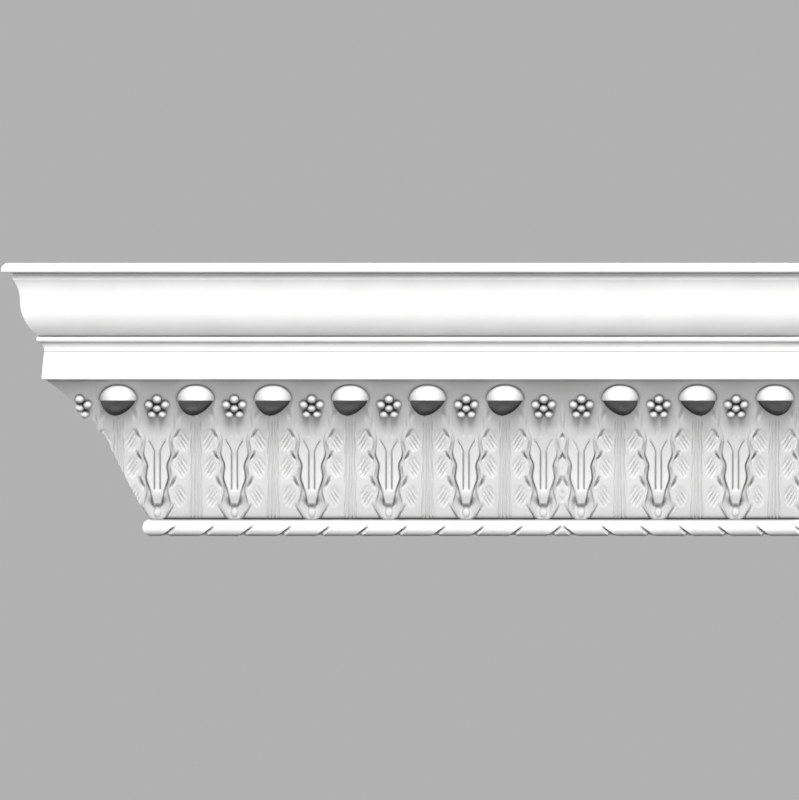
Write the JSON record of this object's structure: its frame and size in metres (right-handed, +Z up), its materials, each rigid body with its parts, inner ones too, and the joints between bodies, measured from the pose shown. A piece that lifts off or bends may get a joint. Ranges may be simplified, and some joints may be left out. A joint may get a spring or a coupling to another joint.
{
  "type": "cornice moulding",
  "caption": "Straight length of classical cornice with a cyma, fascia and a cove of hooded leaves, darts and berries over a rope bead; one end mitred, one square.",
  "frame": {"origin": "on the flat face that lies on the wall, at half its height, in the plane where the ornament's two halves mirror each other", "axes": "+X along the moulding towards its square end, +Y into the wall, +Z up towards the ceiling; the carved side faces -Y"},
  "size_m": [0.4391, 0.085, 0.15],
  "materials": {
    "primed_white": "white primed rigid foam, matt"
  },
  "bodies": {
    "root": {"cornice_moulding": "primed_white"}
  },
  "joints": []
}
